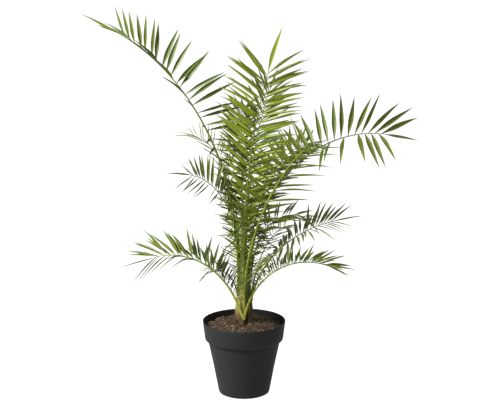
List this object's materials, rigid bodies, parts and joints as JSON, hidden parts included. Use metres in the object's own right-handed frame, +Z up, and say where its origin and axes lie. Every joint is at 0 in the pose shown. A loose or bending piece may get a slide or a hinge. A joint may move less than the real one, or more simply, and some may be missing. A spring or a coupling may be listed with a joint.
{
  "type": "potted date palm",
  "caption": "Young feather palm with arching, pointed-leaflet fronds on a short stem, in a tapered round plastic pot with a deep collar.",
  "frame": {"origin": "middle of the flat underside of the pot", "axes": "+Z up along the stem; the longest frond leans to -X, and the side of the plant shown in the picture looks to -Y"},
  "size_m": [0.9893, 0.7045, 1.1159],
  "materials": {
    "pot_plastic": "moulded dark grey polypropylene, matte",
    "potting_soil": "loose bark and fibre soil",
    "leaf_bases": "dry fibrous leaf sheaths",
    "frond_young": "fresh yellow-green leaf, slight gloss",
    "frond_full": "mid green leaf, slight gloss",
    "frond_old": "dark green leaf, slight gloss"
  },
  "bodies": {
    "root": {"pot": "pot_plastic", "soil": "potting_soil", "stem": "leaf_bases", "frond_upper_left_lower": "frond_full", "frond_upper_left_upper": "frond_full", "frond_centre_front": "frond_young", "frond_centre_back": "frond_full", "frond_right_front": "frond_full", "frond_right_arch_lower": "frond_full", "frond_right_arch_upper": "frond_full", "frond_mid_left": "frond_full", "frond_low_left_lower": "frond_full", "frond_low_left_upper": "frond_full", "frond_low_right_lower": "frond_full", "frond_low_right_upper": "frond_full", "frond_mid_right": "frond_full", "frond_back_right_low_lower": "frond_old", "frond_back_right_low_upper": "frond_old", "frond_back_right_high": "frond_old", "frond_back_left_high": "frond_old", "frond_back_mid": "frond_full", "frond_low_left_back": "frond_old", "frond_low_back_lower": "frond_full", "frond_low_back_upper": "frond_full", "frond_low_right_back": "frond_old"}
  },
  "joints": []
}
